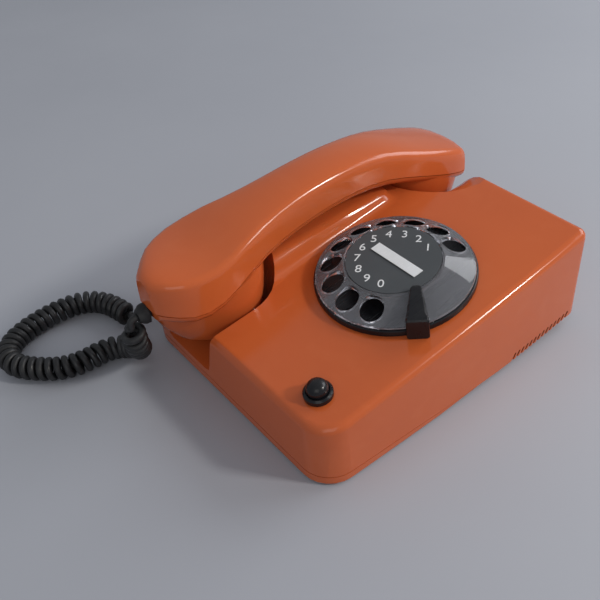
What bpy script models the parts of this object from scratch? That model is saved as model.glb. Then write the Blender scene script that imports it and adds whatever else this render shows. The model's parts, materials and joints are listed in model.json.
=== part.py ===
"""Rotary desk telephone with a side cradle: housing, dial, ringer, hook switch and handset.

World frame: metres, +Z up, +X to the user's right, front of the telephone towards -Y.
The origin lies on the table under the middle of the telephone (the free cord not counted).
All lengths below are in millimetres and become metres when a mesh is made.
"""
import math

import bmesh
import bpy
from mathutils import Matrix, Vector

MM = 0.001
GAP = 0.3                      # clearance between neighbouring pieces
SEAM_GAP = 0.6                 # the open line between two shells

# ---- driving dimensions -------------------------------------------------------------------
CASE_HALF_WIDTH = 76.4
CASE_FRONT_Y = -85.75
CASE_REAR_Y = 95.6
FRONT_CORNER_R = 16.0
REAR_CORNER_R = 6.5
CASE_BULGE = 1.1               # the long sides bow out by this much at mid length
CASE_WALL = 2.6
CASE_DRAFT = 1.2               # how far the walls lean in from the seam to the top edge
TOP_EDGE_R = 4.0
TOP_FRONT_Z = 36.8             # height of the sloping top above the table at the front edge
TOP_SLOPE = math.radians(7.37)
FOOT_HEIGHT = 1.5
BASE_TOP = 6.7                 # top of the bottom plate inside the walls

CRADLE_X = -36.0               # the handset lies along this line, front to back
WELL_FRONT_Y = -57.0
WELL_REAR_Y = 79.0
WELL_FRONT_FLOOR = 10.0
WELL_REAR_FLOOR = 30.0

DIAL_X, DIAL_Y = 24.6, 6.4
DIAL_HOUSING_R = 41.4
DIAL_SKIRT_R = 35.0
WHEEL_R = 40.4
HOLE_RING_R = 32.0
HOLE_R = 6.2
HOLE_COUNT = 10
HOLE_FIRST = math.radians(66.4)     # direction of the hole for 1, from +X, anticlockwise
HOLE_PITCH = math.radians(25.6)
STOP_X, STOP_Y = 37.9, -21.4        # foot of the finger stop, measured from the dial's middle
STOP_AIM = math.radians(136.5)      # direction in which the finger stop reaches over the wheel

BUTTON_X, BUTTON_Y = 53.9, -68.9
HANDSET_NOSE_Y = -103.25
HANDSET_TAIL_Y = 105.8

GLAND_Y, GLAND_Z = -66.0, 11.0      # where the handset cord enters the left wall
LINE_X, LINE_Z = 40.0, 17.0         # where the line cord enters the rear wall
VENT_COUNT, VENT_FIRST_Y, VENT_PITCH = 14, 42.0, 3.3
SCREWS = ((0.0, -70.0), (0.0, 22.0))
FEET = ((-60.0, -68.0), (60.0, -68.0), (-60.0, 30.0), (60.0, 30.0))

CORD_R = 6.6                   # outer radius of the curly cord's coil
CORD_WIRE_R = 1.9
BOOT_Z = 50.0                  # the strain relief leaves the nose of the handset at this height

# ---- scene ---------------------------------------------------------------------------------
for old in list(bpy.data.objects):
    bpy.data.objects.remove(old, do_unlink=True)

PARTS = bpy.data.collections.new("rotary_desk_telephone")
CUTTERS = bpy.data.collections.new("cutters")
for group in (PARTS, CUTTERS):
    bpy.context.scene.collection.children.link(group)


def material(name, colour, roughness, metallic=0.0, alpha=1.0):
    made = bpy.data.materials.new(name)
    made.use_nodes = True
    shader = made.node_tree.nodes["Principled BSDF"]
    shader.inputs["Base Color"].default_value = (*colour, 1.0)
    shader.inputs["Roughness"].default_value = roughness
    shader.inputs["Metallic"].default_value = metallic
    shader.inputs["Alpha"].default_value = alpha
    made.diffuse_color = (*colour, alpha)
    return made


ORANGE = material("orange_plastic", (0.62, 0.13, 0.035), 0.22)
BLACK = material("black_plastic", (0.012, 0.012, 0.014), 0.3)
SMOKE = material("smoked_clear_plastic", (0.12, 0.11, 0.12), 0.08, alpha=0.45)
GREY = material("grey_disc_plastic", (0.06, 0.065, 0.07), 0.35)
CARD = material("paper_card", (0.82, 0.82, 0.80), 0.8)
RUBBER = material("black_rubber", (0.015, 0.015, 0.016), 0.7)
STEEL = material("plated_steel", (0.55, 0.55, 0.56), 0.35, 1.0)
BRASS = material("brass", (0.60, 0.43, 0.16), 0.3, 1.0)
BOARD = material("brown_board", (0.20, 0.10, 0.04), 0.6)
COPPER = material("wound_copper", (0.45, 0.14, 0.06), 0.45, 0.8)
CREAM = material("cream_plastic", (0.72, 0.68, 0.55), 0.4)


# ---- modelling helpers -----------------------------------------------------------------------
def add_object(name, mesh, surface, cutter=False):
    made = bpy.data.objects.new(name, mesh)
    if cutter:
        made.display_type = "WIRE"
        made.hide_render = True
        CUTTERS.objects.link(made)
    else:
        mesh.materials.clear()
        mesh.materials.append(surface)
        PARTS.objects.link(made)
    return made


def mesh_from_bmesh(name, built, smooth_angle=None):
    bmesh.ops.recalc_face_normals(built, faces=built.faces)
    mesh = bpy.data.meshes.new(name)
    built.to_mesh(mesh)
    built.free()
    if smooth_angle is not None:
        mesh.shade_smooth()
        mesh.set_sharp_from_angle(angle=math.radians(smooth_angle))
    return mesh


def loft(name, rings, surface=None, cutter=False, smooth_angle=35):
    """A closed solid through rings of equally many points, capped at both ends."""
    built = bmesh.new()
    rows = [[built.verts.new(Vector(point) * MM) for point in ring] for ring in rings]
    count = len(rows[0])
    for lower, upper in zip(rows, rows[1:]):
        for i in range(count):
            j = (i + 1) % count
            built.faces.new((lower[i], lower[j], upper[j], upper[i]))
    built.faces.new(rows[0])
    built.faces.new(rows[-1])
    return add_object(name, mesh_from_bmesh(name, built, smooth_angle), surface, cutter)


def turned(name, profile, surface=None, steps=40, cutter=False):
    """Turns a profile of (radius, height) pairs about Z; it runs down the outer side."""
    closed = profile[0][0] > 0.0
    built = bmesh.new()
    points = [built.verts.new((r * MM, 0.0, z * MM)) for r, z in profile]
    for first, second in zip(points, points[1:]):
        built.edges.new((first, second))
    if closed:
        built.edges.new((points[-1], points[0]))
    mesh = bpy.data.meshes.new(name)
    built.to_mesh(mesh)
    built.free()
    made = add_object(name, mesh, surface, cutter)
    screw = made.modifiers.new("turn", "SCREW")
    screw.steps = steps
    screw.render_steps = steps
    screw.use_merge_vertices = True
    screw.merge_threshold = 0.00001
    screw.use_smooth_shade = True
    return made


def box(name, size, centre, surface=None, bevel=0.0, cutter=False, segments=2):
    built = bmesh.new()
    bmesh.ops.create_cube(built, size=1.0)
    bmesh.ops.scale(built, vec=Vector(size) * MM, verts=built.verts)
    made = add_object(name, mesh_from_bmesh(name, built), surface, cutter)
    made.location = Vector(centre) * MM
    if bevel:
        edge = made.modifiers.new("edges", "BEVEL")
        edge.width = bevel * MM
        edge.segments = segments
        edge.limit_method = "ANGLE"
    return made


def rod(name, radius, length, centre, axis="Z", surface=None, sides=24, cutter=False, top=None):
    """A cylinder, or a cone when top gives the radius of its far end."""
    built = bmesh.new()
    bmesh.ops.create_cone(built, cap_ends=True, segments=sides, radius1=radius * MM,
                          radius2=(radius if top is None else top) * MM, depth=length * MM)
    turn = {"Z": Matrix(), "X": Matrix.Rotation(math.pi / 2, 4, "Y"),
            "Y": Matrix.Rotation(-math.pi / 2, 4, "X")}[axis]
    bmesh.ops.transform(built, matrix=turn, verts=built.verts)
    made = add_object(name, mesh_from_bmesh(name, built, 40), surface, cutter)
    made.location = Vector(centre) * MM
    return made


def prism(name, outline, axis, low, high, surface=None, cutter=False):
    """An outline pushed along an axis: (y, z) pairs along X, or (x, y) pairs along Z."""
    built = bmesh.new()
    if axis == "X":
        points = [(low, a, b) for a, b in outline]
        travel = Vector((high - low, 0, 0))
    else:
        points = [(a, b, low) for a, b in outline]
        travel = Vector((0, 0, high - low))
    face = built.faces.new([built.verts.new(Vector(p) * MM) for p in points])
    pushed = bmesh.ops.extrude_face_region(built, geom=[face])
    moved = [item for item in pushed["geom"] if isinstance(item, bmesh.types.BMVert)]
    bmesh.ops.translate(built, vec=travel * MM, verts=moved)
    return add_object(name, mesh_from_bmesh(name, built, 30), surface, cutter)


def boolean(target, tool, operation="DIFFERENCE"):
    step = target.modifiers.new(operation.lower(), "BOOLEAN")
    step.operation = operation
    step.solver = "EXACT"
    step.object = tool


def parent_to(frame, *pieces):
    for piece in pieces:
        piece.parent = frame


def empty(name, location, tilt=0.0):
    made = bpy.data.objects.new(name, None)
    made.empty_display_size = 0.01
    made.location = Vector(location) * MM
    made.rotation_euler = (tilt, 0.0, 0.0)
    PARTS.objects.link(made)
    return made


def smooth_through(points, value):
    """Height of a smooth curve through (position, height) pairs, with even tangents."""
    if value <= points[0][0]:
        return points[0][1]
    for i in range(len(points) - 1):
        x0, y0 = points[i]
        x1, y1 = points[i + 1]
        if value <= x1:
            before = points[max(i - 1, 0)]
            after = points[min(i + 2, len(points) - 1)]
            slope0 = (y1 - before[1]) / (x1 - before[0])
            slope1 = (after[1] - y0) / (after[0] - x0)
            t = (value - x0) / (x1 - x0)
            span = x1 - x0
            return ((2 * t**3 - 3 * t**2 + 1) * y0 + (t**3 - 2 * t**2 + t) * span * slope0
                    + (-2 * t**3 + 3 * t**2) * y1 + (t**3 - t**2) * span * slope1)
    return points[-1][1]


# ---- housing ---------------------------------------------------------------------------------
def top_z(y):
    """Height of the sloping top plane."""
    return TOP_FRONT_Z + (y - CASE_FRONT_Y) * math.tan(TOP_SLOPE)


SEAM = [(-100.0, 6.2), (-60.0, 5.6), (-30.0, 4.8), (0.0, 3.5), (20.0, 2.9), (40.0, 2.9), (60.0, 3.9),
        (96.0, 6.4), (110.0, 7.4)]


def seam_z(y):
    """Height of the lower edge of the case, which rises again at the rear."""
    return smooth_through(SEAM, y)


def case_outline(inset):
    """Plan outline of the housing, anticlockwise, moved inwards by inset."""
    wide, tight = FRONT_CORNER_R - inset, max(REAR_CORNER_R - inset, 1.0)
    half = CASE_HALF_WIDTH - inset
    front, rear = CASE_FRONT_Y + inset, CASE_REAR_Y - inset
    length = rear - front
    points = []
    corners = ((half - wide, front + wide, wide, -90), (half - tight, rear - tight, tight, 0),
               (-half + tight, rear - tight, tight, 90), (-half + wide, front + wide, wide, 180))
    for n, (cx, cy, radius, start) in enumerate(corners):
        for step in range(7):
            a = math.radians(start + 15 * step)
            points.append((cx + radius * math.cos(a), cy + radius * math.sin(a)))
        if n in (0, 2):
            first, last = (front + wide, rear - tight) if n == 0 else (rear - tight, front + wide)
            for step in range(1, 8):
                points.append((half if n == 0 else -half, first + (last - first) * step / 8))
    bowed = []
    for x, y in points:
        t = 2 * (y - front) / length - 1
        bowed.append((x + math.copysign(CASE_BULGE * (1 - t * t), x), y))
    return bowed


def housing_block(name, inset, bottom, lowered, edge_radius, cutter=True, surface=None):
    """The wedge-shaped block of the housing, with its rounded top edge."""
    rings = [[(x, y, bottom) for x, y in case_outline(inset)]]
    steps = 4
    for k in range(steps + 1):
        a = math.pi / 2 * k / steps
        inward = CASE_DRAFT + edge_radius * (1 - math.cos(a))
        drop = lowered + edge_radius * (1 - math.sin(a))
        rings.append([(x, y, top_z(y) - drop) for x, y in case_outline(inset + inward)])
    return loft(name, rings, surface, cutter)


def hump_block(name, inset, lowered):
    """The bridge between the two wells: it rises from the top in a hollow curve."""
    widths = ((-6.0, 22.0), (0.0, 20.0), (0.7, 17.8), (2.0, 16.3), (4.2, 15.2), (7.0, 14.4),
              (9.3, 13.2), (10.5, 11.2), (10.9, 8.6))
    rings = []
    for height, half in widths:
        half -= inset
        front, rear = -58.0, 34.0 + half
        ring = []
        for cx, cy, start in ((1, 1, 0), (-1, 1, 90)):
            radius = min(half - 0.5, 8.0)
            for step in range(5):
                a = math.radians(start + 22.5 * step)
                ring.append((CRADLE_X + cx * (half - radius) + radius * math.cos(a),
                             rear - radius + radius * math.sin(a)))
        ring += [(CRADLE_X - half, front), (CRADLE_X, front), (CRADLE_X + half, front)]
        ring += [(CRADLE_X + half, -30.0), (CRADLE_X + half, 0.0)]
        placed = []
        for x, y in ring:
            share = 1.0 - 0.5 * min(max((y + 32.0) / 78.0, 0.0), 1.0)
            placed.append((x, y, top_z(y) + height * share - lowered))
        rings.append(placed)
    return loft(name, rings, cutter=True)


def well_ring(radius, centre_y, toward, end_y, z, flare=0.0):
    """A U-shaped ring: half round at the inner end, straight out to end_y."""
    ring = []
    for step in range(17):
        a = math.pi * step / 16
        ring.append((CRADLE_X + radius * math.cos(a), centre_y + toward * radius * math.sin(a)))
    for step in range(1, 6):
        y = centre_y + (end_y - centre_y) * step / 5
        ring.append((CRADLE_X - radius, y))
    for step in range(5, 0, -1):
        y = centre_y + (end_y - centre_y) * step / 5
        ring.append((CRADLE_X + radius, y))
    placed = []
    for x, y in ring:
        grow = 0.0
        if flare:
            grow = flare * min(1.2, (max(0.0, y - centre_y + 30.0) / 30.0) ** 0.8)
            grow = grow if x > CRADLE_X else 0.3 * grow
            grow *= abs(x - CRADLE_X) / radius
        height = z(y) if callable(z) else z
        placed.append((x + math.copysign(grow, x - CRADLE_X), y, height))
    return placed


def front_well(name, outset):
    """The well for the mouthpiece, open at the front of the housing."""
    sizes = ((WELL_FRONT_FLOOR - outset, 15.5), (WELL_FRONT_FLOOR + 1.2 - outset, 18.6),
             (WELL_FRONT_FLOOR + 4.0 - outset, 19.8), (37.0, 24.7), (46.0, 26.0), (75.0, 27.0))
    rings = [well_ring(r + outset, WELL_FRONT_Y, 1, -110.0, z) for z, r in sizes]
    return loft(name, rings, cutter=True)


def rear_well(name, outset):
    """The well for the earpiece, open at the rear, its right rim rolled over."""
    floor = WELL_REAR_FLOOR - outset
    rings = [well_ring(r + outset, WELL_REAR_Y, -1, 120.0, z)
             for z, r in ((floor, 17.0), (floor + 1.2, 20.4), (floor + 4.0, 21.6))]
    for depth, flare in ((15.0, 0.0), (11.0, 1.5), (7.8, 3.9), (4.8, 7.0), (2.2, 11.0), (0.5, 15.5)):
        rings.append(well_ring(24.6 + outset, WELL_REAR_Y, -1, 120.0,
                               lambda y, d=depth: top_z(y) - d - outset, flare))
    rings.append(well_ring(24.6 + outset, WELL_REAR_Y, -1, 120.0,
                           lambda y: top_z(y) + 18.0, 20.0))
    return loft(name, rings, cutter=True)


def on_top(x, y, height=0.0):
    """A point at a height above the sloping top, measured square to it."""
    return (x, y - height * math.sin(TOP_SLOPE), top_z(y) + height * math.cos(TOP_SLOPE))


def tilted(piece):
    piece.rotation_euler = (TOP_SLOPE, 0.0, 0.0)
    return piece


def make_upper_case():
    case = housing_block("upper_case", 0.0, -4.0, 0.0, TOP_EDGE_R, False, ORANGE)
    boolean(case, hump_block("hump_outside", 0.0, 0.0), "UNION")
    seat = tilted(rod("dial_seat", DIAL_HOUSING_R + 0.9, 24.0, on_top(DIAL_X, DIAL_Y, 12.05),
                      sides=64, cutter=True))
    boolean(case, seat)
    inside = housing_block("case_inside", CASE_WALL, -8.0, CASE_WALL, 2.0)
    boolean(inside, hump_block("hump_inside", CASE_WALL, CASE_WALL), "UNION")
    boolean(inside, tilted(rod("dial_seat_under", DIAL_HOUSING_R + 3.4, 24.0,
                               on_top(DIAL_X, DIAL_Y, 12.0 - CASE_WALL), sides=48, cutter=True)))
    boolean(inside, front_well("front_well_wall", CASE_WALL))
    boolean(inside, rear_well("rear_well_wall", CASE_WALL))
    boolean(case, inside)
    boolean(case, front_well("front_well_space", 0.0))
    boolean(case, rear_well("rear_well_space", 0.0))
    under = [(y, seam_z(y) + SEAM_GAP / 2) for y in range(-110, 111, 10)]
    boolean(case, prism("below_seam", [(110, -30), (-110, -30)] + under, "X", -120, 120, cutter=True))
    boolean(case, tilted(rod("dial_hole", DIAL_SKIRT_R + GAP, 40.0, on_top(DIAL_X, DIAL_Y), sides=48,
                             cutter=True)))
    boolean(case, tilted(rod("button_hole", 5.7, 20.0, on_top(BUTTON_X, BUTTON_Y), cutter=True)))
    boolean(case, rod("mouth_rest", 8.0, 10.2, (CRADLE_X, WELL_FRONT_Y, 14.0), cutter=True, top=7.0),
            "UNION")
    boolean(case, rod("plunger_hole", 3.4, 12.0, (CRADLE_X, WELL_REAR_Y, WELL_REAR_FLOOR), sides=16,
                      cutter=True))
    boolean(case, rod("cord_hole", 4.6, 12.0, (-CASE_HALF_WIDTH, GLAND_Y, GLAND_Z), "X", sides=16,
                      cutter=True))
    boolean(case, rod("line_hole", 4.6, 12.0, (LINE_X, CASE_REAR_Y - 1, LINE_Z), "Y", sides=16,
                      cutter=True))
    for n in range(VENT_COUNT):
        y = VENT_FIRST_Y + n * VENT_PITCH
        slot = box("vent_slot_%02d" % (n + 1), (12.0, 1.4, 7.0),
                   (CASE_HALF_WIDTH, y, seam_z(y) + 1.2), cutter=True)
        slot.rotation_euler = (math.radians(-28), 0.0, 0.0)
        boolean(case, slot)
    return case


def make_base():
    """The bottom: a band that carries the walls down at the front, and a plate inside them."""
    base = prism("base_plate", case_outline(0.4), "Z", FOOT_HEIGHT, 14.0, ORANGE)
    over = [(y, seam_z(y) - SEAM_GAP / 2) for y in range(110, -111, -10)]
    boolean(base, prism("above_seam", [(-110, 40), (110, 40)] + over, "X", -120, 120, cutter=True))
    taper = [(-12.0, -5.0), (-12.0, FOOT_HEIGHT), (20.0, 3.0), (20.0, 40.0), (130.0, 40.0), (130.0, -5.0)]
    boolean(base, prism("band_taper", taper, "X", -120, 120, cutter=True))
    inner = prism("inner_plate", case_outline(CASE_WALL + 1.0), "Z", FOOT_HEIGHT, BASE_TOP, cutter=True)
    rear = [(38.0, FOOT_HEIGHT - 6), (38.0, FOOT_HEIGHT), (110.0, FOOT_HEIGHT + 3.8),
            (110.0, FOOT_HEIGHT - 6)]
    boolean(inner, prism("rear_chamfer", rear, "X", -120, 120, cutter=True))
    boolean(base, inner, "UNION")
    middle = VENT_FIRST_Y + (VENT_COUNT - 1) * VENT_PITCH / 2
    boolean(base, box("vent_room", (10.0, VENT_COUNT * VENT_PITCH + 4.0, 20.0),
                      (CASE_HALF_WIDTH - CASE_WALL - 3.0, middle, FOOT_HEIGHT + 13.0), cutter=True))
    for n, (x, y) in enumerate(FEET):
        foot = turned("rubber_foot_%d" % (n + 1), [(0, FOOT_HEIGHT - GAP), (6.5, FOOT_HEIGHT - GAP),
                      (6.5, 0.4), (6.0, 0), (0, 0)], RUBBER, 20)
        foot.location = (x * MM, y * MM, 0)
    for n, (x, y) in enumerate(SCREWS):
        boolean(base, rod("screw_recess_%d" % (n + 1), 4.2, 3.6, (x, y, FOOT_HEIGHT), sides=16,
                          cutter=True))
        head = turned("case_screw_%d" % (n + 1), [(0, 3.0), (3.6, 3.0), (3.6, 2.2), (2.6, 1.8), (0, 1.8)],
                      STEEL, 20)
        head.location = (x * MM, y * MM, 0)
        boolean(head, box("case_screw_slot_%d" % (n + 1), (9.0, 0.9, 1.0), (x, y, 1.8), cutter=True))


# ---- dial ------------------------------------------------------------------------------------
GEAR_PITCH_R = 23.2
PINION_PITCH_R = GEAR_PITCH_R / 6
GOVERNOR_DISTANCE = GEAR_PITCH_R + PINION_PITCH_R + 0.3
GOVERNOR_ANGLE = math.radians(200.0)


def ring_of_teeth(root, outer, count, phase=0.0):
    """Plan outline of a small gear with blunt teeth."""
    outline = []
    for tooth in range(count):
        for share, radius in ((-0.27, root), (-0.13, outer), (0.13, outer), (0.27, root)):
            a = phase + 2 * math.pi * (tooth + share) / count
            outline.append((radius * math.cos(a), radius * math.sin(a)))
    return outline


def polar(radius, angle):
    return radius * math.cos(angle), radius * math.sin(angle)


def make_dial():
    frame = empty("dial_axis", on_top(DIAL_X, DIAL_Y), TOP_SLOPE)
    rim = DIAL_HOUSING_R
    bezel = turned("dial_housing", [(rim - 0.8, 3.3), (rim - 0.3, 3.0), (rim, 2.3), (rim, GAP),
                   (DIAL_SKIRT_R, GAP), (DIAL_SKIRT_R, -14.0), (33.0, -14.0), (33.0, -0.9), (3.4, -0.9),
                   (3.4, 1.0), (rim - 2.6, 1.0), (rim - 2.2, 3.3)], BLACK, 60)
    wheel = turned("finger_wheel", [(3.1, 10.2), (24.3, 10.2), (24.6, 11.7), (25.6, 11.7),
                   (WHEEL_R - 1.4, 5.3), (WHEEL_R - 0.3, 4.9), (WHEEL_R, 4.3), (WHEEL_R, 3.8),
                   (WHEEL_R - 0.8, 3.7), (WHEEL_R - 1.8, 3.8), (25.0, 9.1), (24.0, 8.5), (7.0, 8.5),
                   (6.0, 7.9), (6.0, 1.8), (3.1, 1.8)], SMOKE, 60)
    for n in range(HOLE_COUNT):
        x, y = polar(HOLE_RING_R, HOLE_FIRST + n * HOLE_PITCH)
        boolean(wheel, rod("finger_hole_%d" % ((n + 1) % 10), HOLE_R, 20.0, (x, y, 8.0), sides=20,
                           cutter=True))
    disc = turned("number_disc", [(0, 11.6), (24.0, 11.6), (24.1, 10.6), (0, 10.6)], GREY, 48)
    card = box("label_card", (30.6, 6.0, 0.35), (2.0, 0.2, 12.08), CARD)
    spindle = rod("dial_spindle", 2.8, 34.1, (0, 0, -6.95), surface=STEEL)
    gear = prism("main_gear", ring_of_teeth(22.1, 23.95, 48, GOVERNOR_ANGLE), "Z", -4.2, -2.4, BRASS)
    boolean(gear, rod("gear_bore", 3.1, 6.0, (0, 0, -3.3), cutter=True))
    cam = turned("pulse_cam", [(3.1, -8.0), (9.0, -8.0), (9.0, -10.0), (3.1, -10.0)], CREAM, 24)
    can = turned("return_spring_can", [(3.2, -10.6), (12.0, -10.6), (12.0, -14.0), (3.2, -14.0)], STEEL, 28)
    plate = rod("dial_frame_plate", 34.6, 2.1, (0, 0, -15.35), surface=STEEL, sides=48)
    gx, gy = polar(GOVERNOR_DISTANCE, GOVERNOR_ANGLE)
    boolean(plate, rod("spindle_bearing", 3.1, 6.0, (0, 0, -15.35), cutter=True))
    boolean(plate, rod("governor_bearing", 2.0, 6.0, (gx, gy, -15.35), cutter=True))
    contacts = box("pulse_contacts", (8.0, 9.0, 6.4), (17.2, 0, -11.0), CREAM, 0.5)
    governor = empty("governor_axis", (gx, gy, 0))
    governor.parent = frame
    shaft = turned("governor_shaft", [(0, -1.8), (1.6, -1.8), (1.6, -18.0), (9.0, -18.0), (9.0, -25.8),
                   (0, -25.8)], BRASS, 28)
    phase = GOVERNOR_ANGLE + math.pi * (1 + 1 / 8)
    pinion = prism("pinion", ring_of_teeth(2.77, 4.5, 8, phase), "Z", -4.4, -2.2, cutter=True)
    boolean(shaft, pinion, "UNION")
    cup = turned("governor_cup", [(2.2, -17.5), (2.2, -16.8), (11.5, -16.8), (11.5, -26.5), (9.6, -26.5),
                 (9.6, -17.5)], STEEL, 28)
    stop = finger_stop()
    parent_to(frame, bezel, wheel, disc, card, spindle, gear, cam, can, plate, contacts, cup, stop)
    parent_to(governor, shaft, pinion)
    cup.location = (gx * MM, gy * MM, 0)
    for piece in CUTTERS.objects:
        if piece.name.startswith("finger_hole") or piece.name in (
                "gear_bore", "spindle_bearing", "governor_bearing"):
            piece.parent = frame


def finger_stop():
    """A bent hook screwed beside the dial, its arm reaching over the finger wheel."""
    foot = ((-1.4, 0.3, 11.8, 5.2), (-0.8, 0.3, 12.6, 5.4), (0.6, 0.3, 12.9, 5.4))
    arm = ((0.8, 6.4, 13.0, 5.3), (3.0, 6.4, 13.1, 5.0), (8.0, 8.2, 13.4, 4.3), (13.0, 10.4, 14.2, 3.5),
           (18.0, 12.3, 14.8, 2.7), (20.0, 12.5, 14.2, 1.8))
    dx, dy = polar(1.0, STOP_AIM)
    rings = []
    for along, low, high, half in foot + arm:
        edge = 0.2 * (high - low) if along > 2 else 0.8
        section = ((-half, low + edge), (-half + edge, low), (half - edge, low), (half, low + edge),
                   (half, high - edge), (half - edge, high), (-half + edge, high), (-half, high - edge))
        rings.append([(STOP_X + dx * along + dy * s, STOP_Y + dy * along - dx * s, z) for s, z in section])
    return loft("finger_stop", rings, BLACK, smooth_angle=50)


# ---- button, hook switch, ringer and board ----------------------------------------------------
def make_button():
    frame = empty("button_axis", on_top(BUTTON_X, BUTTON_Y), TOP_SLOPE)
    collar = turned("button_collar", [(6.3, 3.4), (7.1, 2.5), (7.1, GAP), (5.7, GAP), (5.7, 3.4)],
                    BLACK, 32)
    button = turned("ground_button", [(0, 8.8), (2.2, 8.6), (3.9, 7.7), (4.9, 6.3), (5.3, 4.6),
                    (5.3, -4.0), (3.0, -4.0), (3.0, -9.0), (0, -9.0)], BLACK, 32)
    switch = box("button_switch", (12.0, 12.0, 7.0), (0, 0, -16.0), CREAM, 0.6)
    parent_to(frame, collar, button, switch)


HOOK_PIVOT_Y, HOOK_PIVOT_Z = 55.0, 20.0


def make_hook():
    plunger = turned("hook_plunger", [(0, 33.1), (2.0, 33.1), (3.0, 32.3), (3.0, 22.0), (0, 22.0)],
                     CREAM, 20)
    plunger.location = (CRADLE_X * MM, WELL_REAR_Y * MM, 0)
    side = [(-3.2, -1.6), (-1.2, -3.0), (1.6, -3.0), (3.2, -1.4), (27.0, -0.4), (27.0, 1.6), (3.2, 1.6),
            (1.6, 3.2), (-1.2, 3.0), (-14.0, 1.2), (-14.0, -0.4)]
    lever = prism("hook_lever", side, "X", -4.0, 4.0, STEEL)
    lever.location = (CRADLE_X * MM, HOOK_PIVOT_Y * MM, HOOK_PIVOT_Z * MM)
    boolean(lever, rod("lever_bore", 1.6, 12.0, (CRADLE_X, HOOK_PIVOT_Y, HOOK_PIVOT_Z), "X", cutter=True,
                       sides=16))
    pin = rod("hook_pin", 1.3, 22.0, (CRADLE_X, HOOK_PIVOT_Y, HOOK_PIVOT_Z), "X", STEEL, 16)
    bracket = box("hook_bracket", (24.0, 12.0, 17.0), (CRADLE_X, HOOK_PIVOT_Y, 15.5), STEEL, 0.5)
    boolean(bracket, box("bracket_gap", (14.0, 20.0, 14.2), (CRADLE_X, HOOK_PIVOT_Y, 18.3), cutter=True))
    boolean(bracket, rod("bracket_bore", 1.6, 40.0, (CRADLE_X, HOOK_PIVOT_Y, HOOK_PIVOT_Z), "X",
                         sides=16, cutter=True))
    contacts = box("hook_contacts", (12.0, 7.0, 9.4), (CRADLE_X, HOOK_PIVOT_Y - 12.0, 11.7), CREAM, 0.5)
    return plunger, lever, pin, bracket, contacts


GONG_X, GONG_Y, CLAPPER_X, CLAPPER_Y = (8.0, 52.0), 64.0, 30.0, 40.0


def make_ringer():
    plate = box("ringer_frame", (60.0, 54.0, 1.6), (30.0, 45.0, 7.8), STEEL)
    for n, x in enumerate(GONG_X):
        boolean(plate, rod("gong_post_%d" % (n + 1), 2.4, 17.0, (x, GONG_Y, 16.5), sides=16, cutter=True),
                "UNION")
    boolean(plate, rod("clapper_post", 2.0, 12.0, (CLAPPER_X, CLAPPER_Y, 14.0), sides=16, cutter=True),
            "UNION")
    for n, x in enumerate(GONG_X):
        gong = turned("gong_%d" % (n + 1), [(2.8, 26.0), (10.0, 25.6), (14.6, 22.6), (16.5, 17.0),
                      (16.5, 13.0), (15.2, 13.0), (15.2, 16.6), (13.6, 21.4), (9.6, 24.2), (2.8, 24.6)],
                      BRASS, 36)
        gong.location = (x * MM, GONG_Y * MM, 0)
    arm = [(-4.0, -3.0), (4.0, -3.0), (4.0, 2.0), (1.2, 6.0), (1.2, 22.0), (-1.2, 22.0), (-1.2, 6.0),
           (-4.0, 2.0)]
    clapper = prism("clapper", arm, "Z", 18.4, 20.4, STEEL)
    clapper.location = (CLAPPER_X * MM, CLAPPER_Y * MM, 0)
    ball = turned("clapper_ball", [(0, 22.6), (2.3, 21.7), (3.2, 19.4), (2.3, 17.1), (0, 16.2)], None,
                  16, True)
    ball.location = (CLAPPER_X * MM, (CLAPPER_Y + 24.0) * MM, 0)
    boolean(clapper, ball, "UNION")
    boolean(clapper, rod("clapper_bore", 2.3, 8.0, (CLAPPER_X, CLAPPER_Y, 19.4), cutter=True, sides=16))
    rod("ringer_coil", 8.6, 30.0, (CLAPPER_X, 26.0, 18.0), "X", COPPER, 32)


def make_board():
    box("circuit_board", (66.0, 40.0, 1.6), (33.0, -58.0, 7.8), BOARD)
    box("induction_coil", (22.0, 18.0, 16.0), (14.0, -52.0, 17.2), COPPER, 1.0)
    rod("capacitor", 5.0, 20.0, (42.0, -46.0, 14.3), "X", STEEL, 24)
    box("terminal_block", (30.0, 8.0, 7.0), (22.0, -71.0, 12.7), CREAM, 0.5)


# ---- handset ---------------------------------------------------------------------------------
HALF_WIDTH = [(-103.25, 6.0), (-102.4, 8.0), (-101.0, 10.0), (-98.0, 13.2), (-92.0, 19.2),
              (-84.0, 23.6), (-72.0, 26.2), (-60.0, 25.0), (-48.0, 21.8), (-35.0, 18.6), (-15.0, 16.4),
              (20.0, 16.0), (38.0, 16.8), (52.0, 18.6), (66.0, 20.4), (78.0, 21.4), (88.0, 21.5),
              (96.0, 21.1), (101.0, 20.2), (103.5, 18.6), (105.0, 16.0), (105.8, 12.5)]
MIDDLE_X = [(-103.25, 2.0), (-101.0, 2.4), (-98.0, 2.4), (-92.0, 1.2), (-84.0, -0.8), (-72.0, -2.4),
            (-60.0, -2.5), (-48.0, -2.0), (-35.0, -1.0), (-15.0, -0.2), (0.0, 0.0), (103.25, 0.0)]
CREASE_Z = [(-103.25, 69.0), (-102.4, 70.2), (-101.0, 71.2), (-98.0, 72.0), (-92.0, 72.1),
            (-82.0, 71.8), (-68.0, 73.0), (-52.0, 77.5), (-35.0, 81.5), (-22.0, 84.0), (-5.0, 86.2),
            (15.0, 87.0), (30.0, 86.2), (44.0, 84.1), (55.0, 81.2), (77.0, 73.6), (95.0, 67.2),
            (102.0, 64.4), (104.8, 62.6), (105.8, 60.8)]
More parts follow.
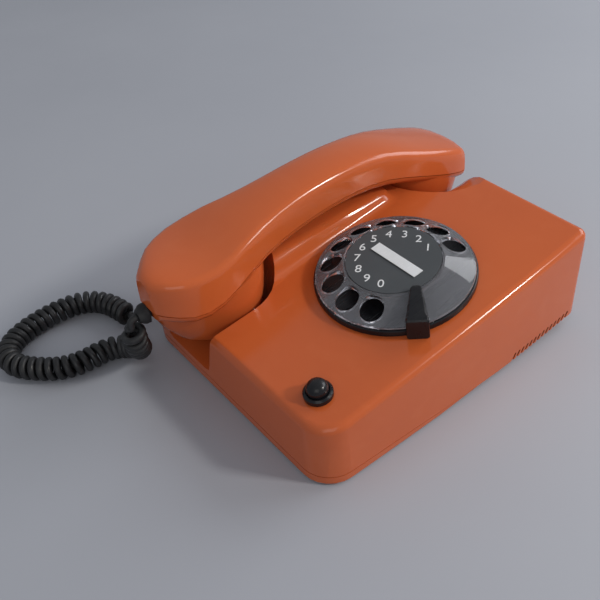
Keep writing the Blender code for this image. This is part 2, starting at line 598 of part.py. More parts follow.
HANDSET_SEAM_Z = [(-103.25, 54.3), (-94.0, 53.0), (-86.0, 51.5), (-78.0, 51.8), (-70.0, 54.0),
                  (-62.0, 57.0), (-52.0, 60.5), (-45.0, 63.0), (-35.0, 65.5), (-20.0, 68.0),
                  (-5.0, 70.0), (10.0, 71.0), (25.0, 71.0), (40.0, 69.5), (52.0, 66.8), (64.0, 63.2),
                  (77.0, 58.8), (90.0, 54.4), (105.8, 50.0)]
MOUTH_Y, EAR_Y = -60.0, 80.0


def stations(first, last, count):
    """Positions along the handset, closer together towards its two ends."""
    middle, half = (first + last) / 2, (last - first) / 2
    return [middle - half * math.cos(math.pi * k / (count - 1)) * (0.75 + 0.25 * abs(
            math.cos(math.pi * k / (count - 1)))) for k in range(count)]


def in_section(side, y):
    """A whole section from its right half, about the handset's middle line at y."""
    middle = CRADLE_X + smooth_through(MIDDLE_X, y)
    whole = side + [(-x, z) for x, z in reversed(side) if x > 0.01]
    return [(middle + x, y, z) for x, z in whole]


def upper_section(y, inset, below):
    """Half of the handset's top cover in section, from the seam up to the middle."""
    w = smooth_through(HALF_WIDTH, y) - inset
    crease = smooth_through(CREASE_Z, y) - inset
    seam = smooth_through(HANDSET_SEAM_Z, y) - below
    k = min(1.0, w / 13.5)
    side = [(w, seam), (w - 0.4 * k, seam + 0.5 * (crease - seam)), (w - 0.9 * k, crease - 3.4),
            (w - 1.8 * k, crease - 1.5), (w - 3.4 * k, crease - 0.3), (w - 5.4 * k, crease + 0.1),
            (w * 0.45, crease + 1.1), (0.0, crease + 1.5)]
    return in_section(side, y)


def lower_section(y):
    """The handle's shallow underside, meeting the top cover at the seam."""
    w = smooth_through(HALF_WIDTH, y)
    seam = smooth_through(HANDSET_SEAM_Z, y)
    k = min(1.0, w / 13.5)
    side = [(w, seam + 1.0), (w, seam), (w - 0.3 * k, seam - 1.8), (w - 1.6 * k, seam - 3.6),
            (w - 4.4 * k, seam - 5.0), (w * 0.4, seam - 5.5), (0.0, seam - 5.6)]
    return in_section(side, y)


# Height, radius and how far the cup reaches out beyond that towards its own end.
MOUTH_CUP = ((19.5, 13.0, 7.0), (20.5, 16.0, 8.0), (23.0, 18.5, 8.8), (28.0, 20.0, 11.0),
             (36.0, 21.5, 15.0), (44.0, 22.6, 17.0), (52.0, 23.2, 18.6), (60.0, 23.4, 19.2))
EAR_CUP = ((33.5, 12.0, 0.0), (34.0, 15.0, 0.4), (36.0, 17.8, 1.2), (40.0, 19.5, 2.6), (48.0, 20.7, 3.4),
           (56.0, 21.2, 3.4), (64.0, 21.4, 3.2))


def cup_rings(profile, centre_y, toward, left=0.0, square=1.0):
    """A round cup under one end of the handset, drawn out towards that end.

    Its left side widens by left between heights 38 and 52, to meet the wider shell above. A square
    below 1 fills out the two corners of the outer half.
    """
    rings = []
    for z, radius, reach in profile:
        widen = left * min(max((z - 38.0) / 14.0, 0.0), 1.0) / radius
        ring = []
        for step in range(40):
            x, y = polar(1.0, 2 * math.pi * step / 40)
            if y * toward > 0.0:
                x, y = math.copysign(abs(x) ** square, x), math.copysign(abs(y) ** square, y)
            ahead = max(y * toward, 0.0)
            across = radius * x * (1 - 0.1 * ahead ** 6)
            across *= 1.0 + widen if x < 0 else 1.0
            ring.append((CRADLE_X + across, centre_y + radius * y + toward * reach * ahead ** 4, z))
        rings.append(ring)
    return rings


def make_handset():
    upper = loft("handset_upper_shell", [upper_section(y, 0.0, -SEAM_GAP / 2)
                 for y in stations(HANDSET_NOSE_Y, HANDSET_TAIL_Y, 27)], ORANGE)
    boolean(upper, loft("upper_hollow", [upper_section(y, 2.5, 6.0)
                        for y in stations(HANDSET_NOSE_Y + 3.0, HANDSET_TAIL_Y - 3.0, 19)], cutter=True))
    lower = loft("handset_lower_shell", [lower_section(y)
                 for y in stations(HANDSET_NOSE_Y + 1.2, HANDSET_TAIL_Y - 1.2, 27)], ORANGE)
    boolean(lower, loft("mouth_cup", cup_rings(MOUTH_CUP, MOUTH_Y, -1, 4.0), cutter=True), "UNION")
    boolean(lower, loft("ear_cup", cup_rings(EAR_CUP, EAR_Y, 1, square=0.55), cutter=True), "UNION")
    ys = [HANDSET_NOSE_Y - 7 + 4.0 * k for k in range(56)]
    seam = [(y, smooth_through(HANDSET_SEAM_Z, y) - SEAM_GAP / 2) for y in reversed(ys)]
    boolean(lower, prism("above_handset_seam", [(ys[0], 120), (ys[-1], 120)] + seam, "X",
                         CRADLE_X - 60, CRADLE_X + 60, cutter=True))
    cavities = (("mouth", MOUTH_Y, ((22.0, 16.8), (30.0, 16.8), (30.4, 19.0), (75.0, 19.6)), 7.0),
                ("ear", EAR_Y, ((36.0, 15.6), (44.0, 15.6), (44.4, 17.6), (75.0, 18.0)), 6.0))
    for label, y, profile, ring in cavities:
        space = turned(label + "_cavity", [(0, 75.0)] + [(r, z) for z, r in reversed(profile)]
                       + [(0, profile[0][0])], None, 32, True)
        space.location = (CRADLE_X * MM, y * MM, 0)
        boolean(lower, space)
        floor = profile[0][0]
        for n in range(7):
            dx, dy = polar(ring if n else 0.0, n * math.pi / 3)
            boolean(lower, rod("%s_sound_hole_%d" % (label, n + 1), 0.9, 10.0,
                               (CRADLE_X + dx, y + dy, floor - 1.5), cutter=True, sides=10))
    boolean(lower, wire_channel())
    boolean(lower, rod("boot_bore", 3.4, 26.0, (CRADLE_X, -92.0, BOOT_Z), "Y", cutter=True, sides=24))
    for n, y in enumerate(HANDSET_SCREWS):
        z = smooth_through(HANDSET_SEAM_Z, y) - 5.6
        boolean(lower, rod("handset_screw_recess_%d" % (n + 1), 3.4, 3.0, (CRADLE_X, y, z), sides=20,
                           cutter=True))
        screw = turned("handset_screw_%d" % (n + 1),
                       [(0, 1.2), (3.0, 1.2), (3.0, 0.6), (2.0, 0.1), (0, 0.1)], STEEL, 20)
        screw.location = (CRADLE_X * MM, y * MM, z * MM)
        boolean(screw, box("handset_screw_slot_%d" % (n + 1), (0.8, 8.0, 0.8), (CRADLE_X, y, z + 0.1),
                           cutter=True))
    capsule("transmitter_capsule", MOUTH_Y, 16.4, 22.4, 31.0)
    capsule("receiver_capsule", EAR_Y, 15.2, 36.4, 45.0)


HANDSET_SCREWS = (-20.0, 40.0)


def wire_channel():
    """A shallow trough for the wires along the top of the lower shell."""
    rings = []
    for y in stations(-58.0, 78.0, 15):
        seam = smooth_through(HANDSET_SEAM_Z, y)
        rings.append([(CRADLE_X + x, y, z) for x, z in ((8.0, seam + 4.0), (8.0, seam - 1.8),
                                                        (-8.0, seam - 1.8), (-8.0, seam + 4.0))])
    return loft("wire_channel", rings, cutter=True)


def capsule(name, y, radius, low, high):
    profile = [(0, high), (radius - 4, high), (radius - 3, high - 1.2), (radius - 0.6, high - 1.2),
               (radius, high - 1.8), (radius, low + 0.6), (radius - 0.6, low), (0, low)]
    made = turned(name, profile, STEEL, 32)
    made.location = (CRADLE_X * MM, y * MM, 0)


# ---- cord -----------------------------------------------------------------------------------
# The curly cord hangs from the nose of the handset, lies in one ring on the table and comes back
# to the left wall. The middle line of its coil, then the plain ends of the wire.
COIL_ROUTE = [(-36.0, -112.8, 44.9), (-36.2, -112.4, 38.6), (-39.0, -111.0, 31.5), (-44.0, -108.6, 24.2),
              (-50.5, -105.9, 17.2), (-58.0, -104.4, 11.2), (-65.2, -106.6, 7.6), (-70.2, -112.4, 6.9),
              (-71.8, -119.6, 6.9), (-72.0, -127.2, 6.9), (-73.2, -135.2, 6.9), (-77.0, -143.6, 6.9),
              (-83.2, -150.9, 6.9), (-90.0, -156.7, 6.9), (-97.8, -160.2, 6.9), (-106.0, -159.0, 6.9),
              (-112.6, -153.2, 6.9), (-116.8, -144.5, 6.9), (-119.2, -133.3, 6.9), (-119.6, -121.8, 6.9),
              (-118.0, -111.4, 6.9), (-113.2, -103.2, 6.9), (-106.0, -98.0, 6.9), (-97.5, -95.2, 6.9),
              (-88.0, -93.6, 6.9)]
HANDSET_TAIL = [(-36.0, -108.9, 50.0), (-36.0, -110.8, 49.8), (-36.0, -112.3, 48.8), (-36.0, -112.8, 47.2),
                (-36.0, -112.8, 45.2)]
CASE_TAIL = [(-87.7, -93.5, 6.9), (-84.0, -92.2, 6.9), (-82.2, -88.0, 7.2), (-83.5, -82.5, 8.2),
             (-86.2, -76.5, 9.6), (-87.2, -71.2, 10.6), (-85.6, -67.2, 11.0), (-82.3, -66.0, 11.0)]


def smooth_route(points, spacing):
    """Evenly spaced points on a smooth curve through the given ones."""
    knots = [Vector(p) for p in points]
    fine = []
    for i in range(len(knots) - 1):
        before, after = knots[max(i - 1, 0)], knots[min(i + 2, len(knots) - 1)]
        start, end = knots[i], knots[i + 1]
        for step in range(24):
            t = step / 24
            fine.append(0.5 * ((2 * start) + (end - before) * t
                        + (2 * before - 5 * start + 4 * end - after) * t * t
                        + (3 * start - before - 3 * end + after) * t**3))
    fine.append(knots[-1])
    length = sum((b - a).length for a, b in zip(fine, fine[1:]))
    count = max(2, round(length / spacing))
    even, walked, target = [fine[0]], 0.0, length / count
    for a, b in zip(fine, fine[1:]):
        walked += (b - a).length
        if walked >= target and len(even) < count:
            even.append(b)
            target += length / count
    even.append(fine[-1])
    return even


def tube(name, points, radius, surface, resolution=3):
    line = bpy.data.curves.new(name, "CURVE")
    line.dimensions = "3D"
    line.bevel_depth = radius * MM
    line.bevel_resolution = resolution
    line.use_fill_caps = True
    spline = line.splines.new("POLY")
    spline.points.add(len(points) - 1)
    for point, place in zip(spline.points, points):
        point.co = (*(Vector(place) * MM), 1.0)
    line.materials.append(surface)
    made = bpy.data.objects.new(name, line)
    PARTS.objects.link(made)
    return made


def make_cord():
    tube("handset_cord_coil", smooth_route(COIL_ROUTE, 5.5), CORD_R, BLACK)
    tube("cord_tail_handset", HANDSET_TAIL, CORD_WIRE_R, BLACK, 2)
    tube("cord_tail_case", smooth_route(CASE_TAIL, 3.0), CORD_WIRE_R, BLACK, 2)
    boot = turned("handset_boot", [(0, 13.0), (3.0, 13.0), (3.0, -0.3), (5.4, -0.3), (5.2, -2.6),
                  (3.2, -5.4), (0, -5.4)], RUBBER, 24)
    boot.location = (CRADLE_X * MM, -103.2 * MM, BOOT_Z * MM)
    boot.rotation_euler = (-math.pi / 2, 0.0, 0.0)
    gland = turned("cord_gland", [(0, 5.0), (3.0, 4.7), (5.6, 2.2), (5.6, 0.3), (4.2, 0.3),
                   (4.2, -4.0), (0, -4.0)], RUBBER, 24)
    gland.location = (-(CASE_HALF_WIDTH + 0.4) * MM, GLAND_Y * MM, GLAND_Z * MM)
    gland.rotation_euler = (0.0, -math.pi / 2, 0.0)
    inlet = turned("line_cord_inlet", [(0, 3.0), (4.6, 3.0), (5.6, 2.2), (5.6, 0.3), (4.2, 0.3),
                   (4.2, -4.0), (0, -4.0)], RUBBER, 24)
    inlet.location = (LINE_X * MM, CASE_REAR_Y * MM, LINE_Z * MM)
    inlet.rotation_euler = (-math.pi / 2, 0.0, 0.0)


make_upper_case()
make_base()
make_dial()
make_button()
make_hook()
make_ringer()
make_board()
make_handset()
make_cord()
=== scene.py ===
"""Rotary desk telephone in a plain studio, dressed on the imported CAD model.

Metres, +Z up, in the model's own frame: -Y is the front of the telephone, +X its right.
"""
import json
import math

import bmesh
import bpy
from mathutils import Matrix, Vector


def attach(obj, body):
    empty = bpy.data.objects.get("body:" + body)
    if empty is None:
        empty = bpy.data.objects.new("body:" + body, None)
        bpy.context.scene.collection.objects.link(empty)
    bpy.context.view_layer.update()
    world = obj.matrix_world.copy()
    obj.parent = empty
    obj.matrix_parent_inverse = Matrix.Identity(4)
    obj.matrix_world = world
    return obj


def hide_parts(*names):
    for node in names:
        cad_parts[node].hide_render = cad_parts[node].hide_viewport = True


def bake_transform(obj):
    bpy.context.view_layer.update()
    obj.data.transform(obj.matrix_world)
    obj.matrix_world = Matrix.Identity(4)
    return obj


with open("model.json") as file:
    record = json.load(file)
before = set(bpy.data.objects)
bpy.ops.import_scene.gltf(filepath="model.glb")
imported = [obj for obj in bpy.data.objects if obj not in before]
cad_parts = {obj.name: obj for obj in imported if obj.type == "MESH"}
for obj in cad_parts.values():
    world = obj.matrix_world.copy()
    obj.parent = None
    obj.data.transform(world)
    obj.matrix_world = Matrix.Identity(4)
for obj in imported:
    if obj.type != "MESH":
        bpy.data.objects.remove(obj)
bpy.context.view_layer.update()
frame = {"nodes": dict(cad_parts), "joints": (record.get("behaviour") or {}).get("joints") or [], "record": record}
NODES = frame["nodes"]
MM = 0.001


def placed(origin, x_axis, y_axis, z_axis):
    """The matrix that puts an object at origin with its own axes along the given ones."""
    turn = Matrix((x_axis, y_axis, z_axis)).transposed().to_4x4()
    return Matrix.Translation(origin) @ turn


# ---- camera, light and floor --------------------------------------------------------------------
CAMERA_PLACE = Vector((0.2480, -0.2154, 0.3063))
CAMERA_AZIMUTH = math.radians(54.14)
CAMERA_ELEVATION = math.radians(40.88)
CAMERA_ROLL = math.radians(-4.44)
FOCAL_LENGTH = 47.9
SENSOR_WIDTH = 36.0

LIGHT_TARGET = (0.0, 0.0, 0.03)
FLOOR_HALF_WIDTH = 4.0


def add_camera():
    lens = bpy.data.cameras.new("camera")
    lens.lens = FOCAL_LENGTH
    lens.sensor_width = SENSOR_WIDTH
    lens.clip_start = 0.01
    lens.dof.use_dof = False
    a, e, r = CAMERA_AZIMUTH, CAMERA_ELEVATION, CAMERA_ROLL
    back = Vector((math.sin(a) * math.cos(e), -math.cos(a) * math.cos(e), math.sin(e)))
    level = Vector((math.cos(a), math.sin(a), 0.0))
    upright = back.cross(level)
    right = level * math.cos(r) + upright * math.sin(r)
    up = upright * math.cos(r) - level * math.sin(r)
    camera = bpy.data.objects.new("camera", lens)
    camera.matrix_world = placed(CAMERA_PLACE, right, up, back)
    bpy.context.scene.collection.objects.link(camera)
    bpy.context.scene.camera = camera


def add_area(name, place, size, power, colour):
    """A rectangular lamp of size metres and power watts that faces the telephone."""
    light = bpy.data.lights.new(name, "AREA")
    light.shape = "RECTANGLE"
    light.size, light.size_y = size
    light.energy = power
    light.color = colour
    lamp = bpy.data.objects.new(name, light)
    lamp.location = place
    aim = Vector(LIGHT_TARGET) - Vector(place)
    lamp.rotation_euler = aim.to_track_quat("-Z", "Y").to_euler()
    bpy.context.scene.collection.objects.link(lamp)


def add_lights():
    world = bpy.data.worlds.new("studio")
    world.use_nodes = True
    shade = world.node_tree.nodes["Background"]
    shade.inputs["Color"].default_value = (0.80, 0.84, 0.90, 1.0)
    shade.inputs["Strength"].default_value = 0.42
    bpy.context.scene.world = world
    bpy.context.scene.view_settings.view_transform = "Standard"
    add_area("key", (0.95, 0.66, 0.88), (0.16, 0.16), 7.5, (1.0, 0.97, 0.92))
    add_area("window", (0.25, 1.10, 0.75), (0.9, 0.6), 7.0, (0.95, 0.97, 1.0))
    add_area("fill", (0.9, -0.9, 0.9), (0.9, 0.9), 2.5, (1.0, 0.97, 0.93))


def add_floor():
    built = bmesh.new()
    bmesh.ops.create_grid(built, x_segments=1, y_segments=1, size=FLOOR_HALF_WIDTH)
    mesh = bpy.data.meshes.new("floor")
    built.to_mesh(mesh)
    built.free()
    mesh.materials.append(floor_paint())
    floor = bpy.data.objects.new("floor", mesh)
    bpy.context.scene.collection.objects.link(floor)


# ---- materials ----------------------------------------------------------------------------------
class Material:
    """A Principled material built up from small procedural layers in object space."""

    def __init__(self, name, colour, roughness, metallic=0.0):
        self.made = bpy.data.materials.new(name)
        self.made.use_nodes = True
        self.tree = self.made.node_tree
        self.shader = self.tree.nodes["Principled BSDF"]
        self.colour = (*colour, 1.0)
        self.set("Base Color", self.colour)
        self.set("Roughness", roughness)
        self.set("Metallic", metallic)
        self.made.diffuse_color = self.colour
        self.place = self.node("ShaderNodeTexCoord").outputs["Object"]
        self.normal = None
        self.tint = None

    def node(self, kind, **values):
        """A new node: each value is one of its settings, or else the input of that name."""
        made = self.tree.nodes.new(kind)
        for key, value in values.items():
            if hasattr(made, key):
                setattr(made, key, value)
            else:
                made.inputs[key.replace("_", " ").title()].default_value = value
        return made

    def set(self, socket, value):
        self.shader.inputs[socket].default_value = value

    def join(self, output, target):
        self.tree.links.new(output, target)

    def noise(self, scale, detail, stretch=(1.0, 1.0, 1.0), turn=(0.0, 0.0, 0.0), distortion=0.0):
        """Noise of scale features a metre, stretched along the axes where stretch is small."""
        mapping = self.node("ShaderNodeMapping", scale=stretch, rotation=turn)
        self.join(self.place, mapping.inputs["Vector"])
        made = self.node("ShaderNodeTexNoise", scale=scale, detail=detail, distortion=distortion)
        self.join(mapping.outputs["Vector"], made.inputs["Vector"])
        return made.outputs["Fac"]

    def spread(self, source, low, high, start, end):
        """Goes from low to high while the source goes from start to end."""
        made = self.node("ShaderNodeMapRange",
                         from_min=start, from_max=end, to_min=low, to_max=high)
        self.join(source, made.inputs["Value"])
        return made.outputs["Result"]

    def blotch(self, source, other, start, end, most=1.0):
        """Mixes the colour towards another one while the source goes from start to end."""
        mix = self.node("ShaderNodeMix", data_type="RGBA")
        self.join(self.spread(source, 0.0, most, start, end), mix.inputs["Factor"])
        if self.tint is None:
            mix.inputs["A"].default_value = self.colour
        else:
            self.join(self.tint, mix.inputs["A"])
        mix.inputs["B"].default_value = (*other, 1.0)
        self.tint = mix.outputs["Result"]
        self.join(self.tint, self.shader.inputs["Base Color"])

    def rough(self, source, low, high, start=0.35, end=0.65):
        """Roughness goes from low to high while the source goes from start to end."""
        self.join(self.spread(source, low, high, start, end), self.shader.inputs["Roughness"])

    def bump(self, source, height, strength):
        """Raises the surface with the source. Height is in metres."""
        made = self.node("ShaderNodeBump", strength=strength, distance=height)
        self.join(source, made.inputs["Height"])
        if self.normal is not None:
            self.join(self.normal, made.inputs["Normal"])
        self.normal = made.outputs["Normal"]
        self.join(self.normal, self.shader.inputs["Normal"])

    def painted_crevice_shade(self, colour, reach):
        """Painted shade: darkens the piece's own slots and inner corners narrower than reach, in metres."""
        hidden = self.node("ShaderNodeAmbientOcclusion", samples=8, only_local=True, distance=reach)
        self.blotch(hidden.outputs["AO"], colour, start=0.55, end=0.25)

    def scratches(self, low, high, turn):
        """Fine hairline marks that change only the gloss."""
        line = self.noise(260.0, 2.0, stretch=(1.0, 0.04, 0.3), turn=turn)
        self.rough(line, low, high, start=0.42, end=0.75)


def orange_plastic():
    m = Material("orange_plastic", (0.60, 0.122, 0.030), 0.24)
    m.blotch(m.noise(14.0, 4.0), (0.54, 0.104, 0.026), 0.35, 0.75, most=0.8)
    m.blotch(m.noise(60.0, 5.0, distortion=0.6), (0.63, 0.145, 0.042), 0.52, 0.80, most=0.4)
    # Painted shade: dark brown in the slots, seams and inner corners of each orange piece
    m.painted_crevice_shade((0.020, 0.006, 0.004), reach=3 * MM)
    m.rough(m.noise(26.0, 4.0, distortion=0.8), 0.13, 0.22, start=0.40, end=0.72)
    m.bump(m.noise(240.0, 3.0), 0.00002, 0.4)
    m.bump(m.noise(12.0, 2.0), 0.0002, 0.2)
    return m.made


def black_plastic():
    m = Material("black_plastic", (0.008, 0.008, 0.010), 0.30)
    m.blotch(m.noise(90.0, 4.0), (0.018, 0.018, 0.019), 0.45, 0.75, most=0.7)
    m.set("Specular IOR Level", 0.35)
    m.scratches(0.24, 0.42, turn=(0.1, 0.5, 0.2))
    m.bump(m.noise(420.0, 3.0), 0.00002, 0.5)
    return m.made


def cord_plastic():
    m = Material("cord_plastic", (0.012, 0.012, 0.013), 0.42)
    m.blotch(m.noise(130.0, 4.0), (0.040, 0.040, 0.043), 0.50, 0.80, most=0.6)
    m.rough(m.noise(180.0, 3.0), 0.36, 0.62)
    m.bump(m.noise(700.0, 3.0), 0.00004, 0.6)
    return m.made


def black_rubber():
    m = Material("black_rubber", (0.014, 0.014, 0.015), 0.62)
    m.blotch(m.noise(160.0, 4.0), (0.045, 0.043, 0.040), 0.50, 0.80, most=0.6)
    m.rough(m.noise(240.0, 3.0), 0.52, 0.78)
    m.bump(m.noise(900.0, 3.0), 0.00005, 0.6)
    return m.made


def smoked_plastic():
    m = Material("smoked_clear_plastic", (0.80, 0.80, 0.85), 0.05)
    m.blotch(m.noise(45.0, 4.0), (0.70, 0.70, 0.76), 0.45, 0.75, most=0.7)
    m.set("Transmission Weight", 0.90)
    m.set("IOR", 1.49)
    m.scratches(0.04, 0.16, turn=(0.6, 0.1, 1.2))
    m.bump(m.noise(40.0, 2.0), 0.0001, 0.15)
    return m.made


def grey_plastic():
    m = Material("grey_plastic", (0.062, 0.068, 0.073), 0.46)
    m.blotch(m.noise(70.0, 4.0), (0.078, 0.084, 0.088), 0.45, 0.75, most=0.6)
    m.rough(m.noise(160.0, 4.0, distortion=0.5), 0.42, 0.54)
    m.bump(m.noise(900.0, 3.0), 0.000012, 0.4)
    return m.made


def paper_card():
    m = Material("paper_card", (0.78, 0.79, 0.80), 0.75)
    fibres = m.noise(1500.0, 3.0, stretch=(1.0, 0.2, 1.0))
    m.blotch(m.noise(45.0, 5.0), (0.62, 0.62, 0.60), 0.45, 0.80, most=0.7)
    m.blotch(fibres, (0.86, 0.87, 0.88), 0.50, 0.75, most=0.5)
    m.rough(m.noise(300.0, 3.0), 0.62, 0.86)
    m.bump(m.noise(1800.0, 4.0), 0.00004, 0.7)
    return m.made


def digit_paint():
    m = Material("digit_paint", (0.80, 0.81, 0.81), 0.5)
    m.blotch(m.noise(500.0, 3.0), (0.62, 0.63, 0.63), 0.45, 0.75, most=0.6)
    m.rough(m.noise(400.0, 3.0), 0.42, 0.62)
    return m.made


def plated_steel():
    m = Material("plated_steel", (0.56, 0.56, 0.57), 0.34, metallic=1.0)
    m.blotch(m.noise(120.0, 5.0), (0.44, 0.43, 0.42), 0.45, 0.75, most=0.8)
    m.rough(m.noise(320.0, 3.0, stretch=(1.0, 0.06, 1.0)), 0.26, 0.48)
    m.bump(m.noise(900.0, 2.0, stretch=(1.0, 0.05, 1.0)), 0.00002, 0.5)
    return m.made


def brass():
    m = Material("brass", (0.60, 0.43, 0.17), 0.30, metallic=1.0)
    m.blotch(m.noise(110.0, 5.0), (0.40, 0.26, 0.10), 0.50, 0.80, most=0.8)
    m.rough(m.noise(260.0, 3.0, stretch=(0.08, 1.0, 1.0)), 0.22, 0.46)
    m.bump(m.noise(900.0, 2.0, stretch=(0.06, 1.0, 1.0)), 0.00002, 0.5)
    return m.made


def brown_board():
    m = Material("brown_board", (0.19, 0.095, 0.040), 0.55)
    lengthways = m.noise(800.0, 2.0, stretch=(1.0, 0.05, 1.0))
    crossways = m.noise(800.0, 2.0, stretch=(0.05, 1.0, 1.0))
    m.blotch(lengthways, (0.25, 0.14, 0.06), 0.45, 0.70, most=0.7)
    m.blotch(crossways, (0.13, 0.06, 0.025), 0.50, 0.75, most=0.6)
    m.rough(m.noise(200.0, 3.0), 0.45, 0.65)
    return m.made


def wound_copper():
    m = Material("wound_copper", (0.44, 0.14, 0.06), 0.42, metallic=0.7)
    m.blotch(m.noise(60.0, 4.0), (0.30, 0.085, 0.035), 0.45, 0.75, most=0.8)
    wires = m.node("ShaderNodeTexWave", bands_direction="X", scale=900.0, distortion=0.4)
    m.join(m.place, wires.inputs["Vector"])
    m.bump(wires.outputs["Fac"], 0.0002, 0.7)
    m.rough(m.noise(300.0, 3.0), 0.34, 0.52)
    return m.made


def cream_plastic():
    m = Material("cream_plastic", (0.70, 0.655, 0.52), 0.40)
    m.blotch(m.noise(80.0, 4.0), (0.58, 0.51, 0.36), 0.45, 0.80, most=0.7)
    m.rough(m.noise(200.0, 3.0), 0.32, 0.54)
    m.bump(m.noise(700.0, 3.0), 0.00002, 0.5)
    return m.made


def floor_paint():
    m = Material("studio_floor", (0.42, 0.43, 0.47), 0.55)
    m.blotch(m.noise(3.0, 4.0), (0.38, 0.39, 0.43), 0.35, 0.70, most=0.8)
    m.rough(m.noise(12.0, 3.0), 0.5, 0.62)
    return m.made


# ---- CAD pieces ---------------------------------------------------------------------------------
WELD_DISTANCE = 0.002 * MM
SHARP_ANGLE = math.radians(32)


def smooth_shading(node):
    """Rounded faces shade smoothly, and edges over the sharp angle stay sharp."""
    mesh = node.data
    if "custom_normal" in mesh.attributes:
        mesh.attributes.remove(mesh.attributes["custom_normal"])
    mesh.shade_smooth()
    weld = node.modifiers.new("weld", "WELD")
    weld.merge_threshold = WELD_DISTANCE
    split = node.modifiers.new("split", "EDGE_SPLIT")
    split.split_angle = SHARP_ANGLE
    split.use_edge_sharp = False
    node.modifiers.new("normals", "WEIGHTED_NORMAL").keep_sharp = True


def dress_cad_nodes():
    """Every CAD node gets its detailed material and smooth shading."""
    surfaces = {
        "orange_plastic": orange_plastic(),
        "black_plastic": black_plastic(),
        "smoked_clear_plastic": smoked_plastic(),
        "grey_plastic": grey_plastic(),
        "paper_card": paper_card(),
        "black_rubber": black_rubber(),
        "plated_steel": plated_steel(),
        "brass": brass(),
        "brown_board": brown_board(),
        "wound_copper": wound_copper(),
        "cream_plastic": cream_plastic(),
    }
    for entry in frame["record"]["subparts"]:
        node = NODES[entry["node"]]
        surface = surfaces[entry["material_slot"]]
        smooth_shading(node)
        if not node.material_slots:
            node.data.materials.append(surface)
        for slot in node.material_slots:
            slot.material = surface


# ---- curly cord, routes in millimetres ----------------------------------------------------------
COIL_RADIUS = 6.6
WIRE_RADIUS = 1.9
WIRE_ROUNDNESS = 4
COIL_PITCH = 4.5
POINTS_PER_TURN = 16
EASE_TURNS = 0.5
HANDSET_TAIL_SPACING = 0.8
CASE_TAIL_SPACING = 1.5
LEAST_SPACING = 0.25
STEPS_BETWEEN_KNOTS = 60

HANDSET_TAIL = [
    (-36.0, -108.9, 50.0), (-36.0, -110.8, 49.8), (-36.0, -112.3, 48.8),
    (-36.0, -112.8, 47.2), (-36.0, -112.8, 45.2),
]
COIL_ROUTE = [
    (-36.0, -112.8, 44.9), (-36.2, -112.4, 38.6), (-39.0, -111.0, 31.5),
    (-44.0, -108.6, 24.2), (-50.5, -105.9, 17.2), (-58.0, -104.4, 11.2),
    (-65.2, -106.6, 7.6), (-70.2, -112.4, 6.9), (-71.8, -119.6, 6.9),
    (-72.0, -127.2, 6.9), (-73.2, -135.2, 6.9), (-77.0, -143.6, 6.9),
    (-83.2, -150.9, 6.9), (-90.0, -156.7, 6.9), (-97.8, -160.2, 6.9),
    (-106.0, -159.0, 6.9), (-112.6, -153.2, 6.9), (-116.8, -144.5, 6.9),
    (-119.2, -133.3, 6.9), (-119.6, -121.8, 6.9), (-118.0, -111.4, 6.9),
    (-113.2, -103.2, 6.9), (-106.0, -98.0, 6.9), (-97.5, -95.2, 6.9),
    (-88.0, -93.6, 6.9),
]
CASE_TAIL = [
    (-87.7, -93.5, 6.9), (-84.0, -92.2, 6.9), (-82.2, -88.0, 7.2), (-83.5, -82.5, 8.2),
    (-86.2, -76.5, 9.6), (-87.2, -71.2, 10.6), (-85.6, -67.2, 11.0), (-82.3, -66.0, 11.0),
]


def smooth_route(points, spacing):
    """Evenly spaced points on a smooth curve through the given ones."""
    knots = [Vector(p) for p in points]
    fine = []
    for i in range(len(knots) - 1):
        before, after = knots[max(i - 1, 0)], knots[min(i + 2, len(knots) - 1)]
        start, end = knots[i], knots[i + 1]
        for step in range(STEPS_BETWEEN_KNOTS):
            t = step / STEPS_BETWEEN_KNOTS
            fine.append(0.5 * ((2 * start) + (end - before) * t
                        + (2 * before - 5 * start + 4 * end - after) * t * t
                        + (3 * start - before - 3 * end + after) * t**3))
    fine.append(knots[-1])
    length = sum((b - a).length for a, b in zip(fine, fine[1:]))
    count = max(2, round(length / spacing))
    even, walked, target = [fine[0]], 0.0, length / count
    for a, b in zip(fine, fine[1:]):
        step = (b - a).length
        while walked + step >= target and len(even) < count:
            even.append(a.lerp(b, (target - walked) / step))
            target += length / count
        walked += step
    even.append(fine[-1])
    return even


def coil_turns():
    """The turns about the coil's middle line. They open out and close over the ease turns."""
    middle = smooth_route(COIL_ROUTE, COIL_PITCH / POINTS_PER_TURN)
    last = len(middle) - 1
    ease = EASE_TURNS * POINTS_PER_TURN
    tangent = (middle[1] - middle[0]).normalized()
    side = tangent.cross(Vector((1.0, 0.0, 0.0))).normalized()
    turned = []
    for i, place in enumerate(middle):
        ahead = (middle[min(i + 1, last)] - middle[max(i - 1, 0)]).normalized()
        side = (side - ahead * side.dot(ahead)).normalized()
        other = ahead.cross(side)
        share = min(1.0, i / ease, (last - i) / ease)
        reach = (COIL_RADIUS - WIRE_RADIUS) * math.sin(share * math.pi / 2)
        a = 2 * math.pi * i / POINTS_PER_TURN
        turned.append(place + (side * math.cos(a) + other * math.sin(a)) * reach)
    return turned


def cord_points():
    """The wire's middle line: a plain end, the coil's turns and the other plain end."""
    handset_end = smooth_route(HANDSET_TAIL, HANDSET_TAIL_SPACING)
    case_end = smooth_route(CASE_TAIL, CASE_TAIL_SPACING)
    whole = handset_end[:-1] + coil_turns() + case_end[1:]
    kept = [whole[0]]
    for place in whole[1:]:
        if (place - kept[-1]).length > LEAST_SPACING:
            kept.append(place)
    return kept


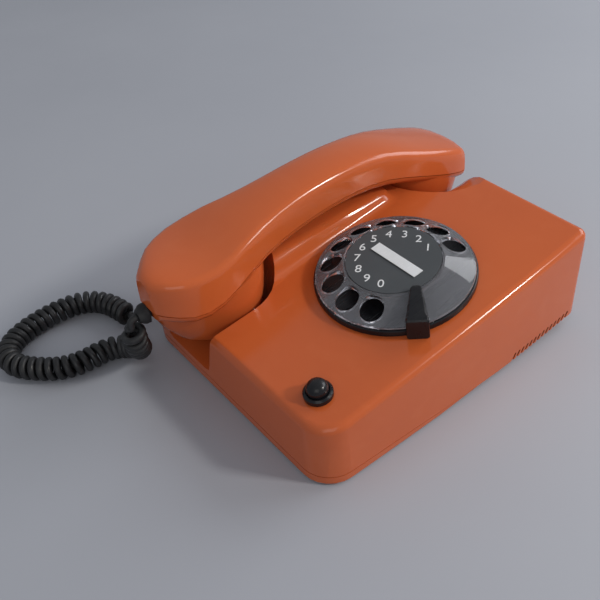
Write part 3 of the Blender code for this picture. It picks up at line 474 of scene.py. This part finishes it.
def add_cord():
    points = [p * MM for p in cord_points()]
    line = bpy.data.curves.new("handset_cord", "CURVE")
    line.dimensions = "3D"
    line.bevel_depth = WIRE_RADIUS * MM
    line.bevel_resolution = WIRE_ROUNDNESS
    line.use_fill_caps = True
    spline = line.splines.new("POLY")
    spline.points.add(len(points) - 1)
    for point, place in zip(spline.points, points):
        point.co = (*place, 1.0)
    spline.use_smooth = True
    line.materials.append(cord_plastic())
    drawn = bpy.data.objects.new("cord_line", line)
    cord = bpy.data.objects.new("handset_cord", bpy.data.meshes.new_from_object(drawn))
    bpy.data.objects.remove(drawn)
    bpy.context.scene.collection.objects.link(cord)
    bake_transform(cord)
    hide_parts("handset_cord_coil", "cord_tail_handset", "cord_tail_case")


# ---- dial numbers -------------------------------------------------------------------------------
HOLE_FIRST = math.radians(66.4)
HOLE_PITCH = math.radians(25.6)
DIGIT_RING_RADIUS = 18.3 * MM
DIGIT_SIZE = 7.2 * MM
DIGIT_TURN = math.radians(41)
DIGIT_HALF_DEPTH = 0.04 * MM
DIGIT_RAISE = 0.06 * MM
DISC_TOP = 11.6 * MM


def dial_matrix():
    """The dial's own frame: its centre on the housing's top, +Z along its axis."""
    spin = next(j for j in frame["joints"] if j["name"] == "dial_spin")
    up = Vector(spin["axis"]).normalized()
    across = Vector((1.0, 0.0, 0.0))
    return placed(Vector(spin["pos_m"]), across, up.cross(across), up)


def add_digits():
    """The printed numbers on the disc, one beside each finger hole."""
    paint = digit_paint()
    dial = dial_matrix()
    turn = Matrix.Rotation(DIGIT_TURN, 4, "Z")
    for n in range(10):
        digit = str((n + 1) % 10)
        text = bpy.data.curves.new("digit_" + digit, "FONT")
        text.body = digit
        text.size = DIGIT_SIZE
        text.align_x = "CENTER"
        text.align_y = "CENTER"
        text.extrude = DIGIT_HALF_DEPTH
        text.materials.append(paint)
        piece = bpy.data.objects.new("digit_" + digit, text)
        bpy.context.scene.collection.objects.link(piece)
        a = HOLE_FIRST + n * HOLE_PITCH
        spot = Vector((math.cos(a), math.sin(a), 0.0)) * DIGIT_RING_RADIUS
        spot.z = DISC_TOP + DIGIT_RAISE
        piece.matrix_world = dial @ Matrix.Translation(spot) @ turn
        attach(piece, "dial_wheel")


add_camera()
add_lights()
add_floor()
dress_cad_nodes()
add_cord()
add_digits()
